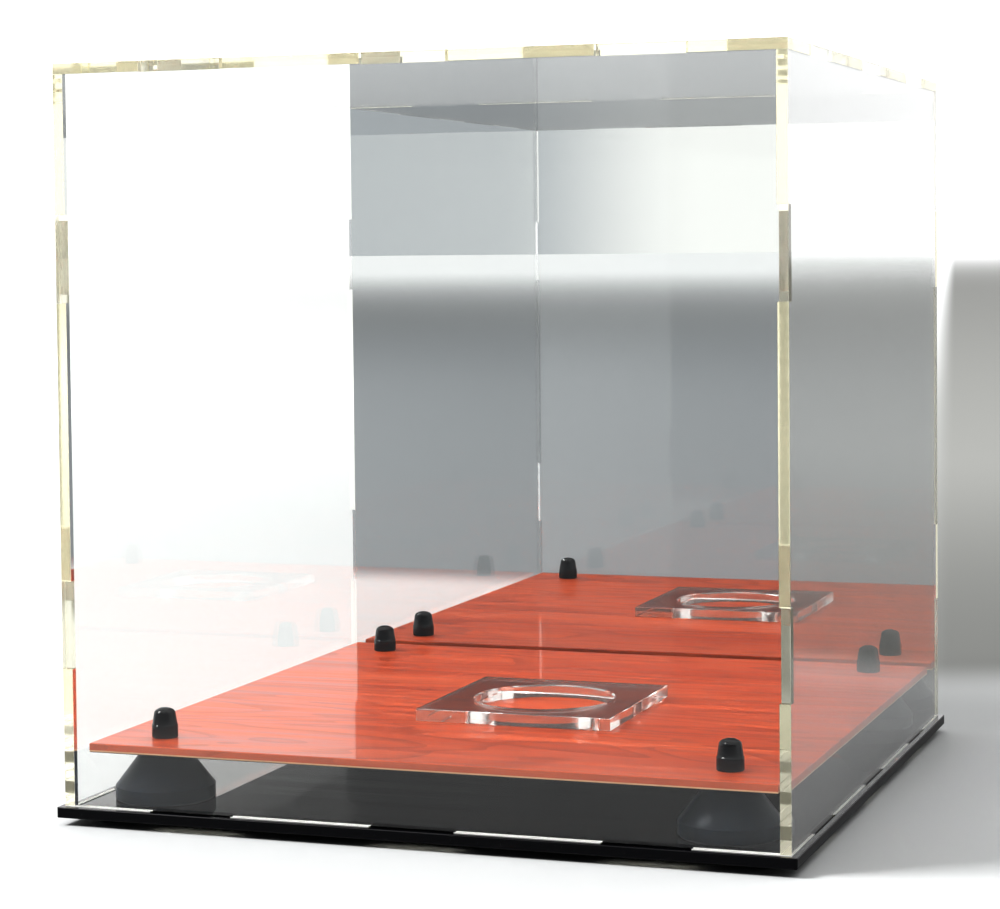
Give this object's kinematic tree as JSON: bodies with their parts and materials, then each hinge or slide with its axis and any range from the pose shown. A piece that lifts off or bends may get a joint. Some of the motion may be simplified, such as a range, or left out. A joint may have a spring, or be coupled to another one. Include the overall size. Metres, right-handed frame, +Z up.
{
  "type": "ball display case",
  "caption": "Clear cube display case for a ball: finger-jointed cover with a mirror back, raised wood-look platform and ring stand on a black base.",
  "frame": {"origin": "middle of the footprint, at floor level under the feet", "axes": "+Z up, front panel faces -Y, mirror back at +Y, +X to the viewer's right"},
  "size_m": [0.285, 0.285, 0.286],
  "materials": {
    "clear_acrylic": "clear, polished, pale yellow at the cut edges",
    "mirror_acrylic": "silvered acrylic mirror, reflective towards the front",
    "black_acrylic": "high gloss",
    "black_plastic": "moulded, satin to glossy",
    "wood_board": "reddish wood grain from side to side under a glossy clear coat",
    "steel": "zinc plated",
    "rubber": "matte"
  },
  "bodies": {
    "base": {"base_plate": "black_acrylic", "foot_front_left": "rubber", "foot_front_right": "rubber", "foot_rear_left": "rubber", "foot_rear_right": "rubber", "riser_front_left": "black_plastic", "riser_front_right": "black_plastic", "riser_rear_left": "black_plastic", "riser_rear_right": "black_plastic", "screw_front_left": "steel", "screw_front_right": "steel", "screw_rear_left": "steel", "screw_rear_right": "steel", "platform": "wood_board", "cap_nut_front_left": "black_plastic", "cap_nut_front_right": "black_plastic", "cap_nut_rear_left": "black_plastic", "cap_nut_rear_right": "black_plastic"},
    "cover": {"front_panel": "clear_acrylic", "left_panel": "clear_acrylic", "right_panel": "clear_acrylic", "mirror_panel": "mirror_acrylic", "top_panel": "clear_acrylic"},
    "ring": {"ring_stand": "clear_acrylic"}
  },
  "joints": [
    {"name": "cover_lift", "type": "slide", "parent": "base", "child": "cover", "axis": [0, 0, 1], "range_m": [0, 0.3]},
    {"name": "ring_lift", "type": "slide", "parent": "base", "child": "ring", "axis": [0, 0, 1], "range_m": [0, 0.1]}
  ]
}
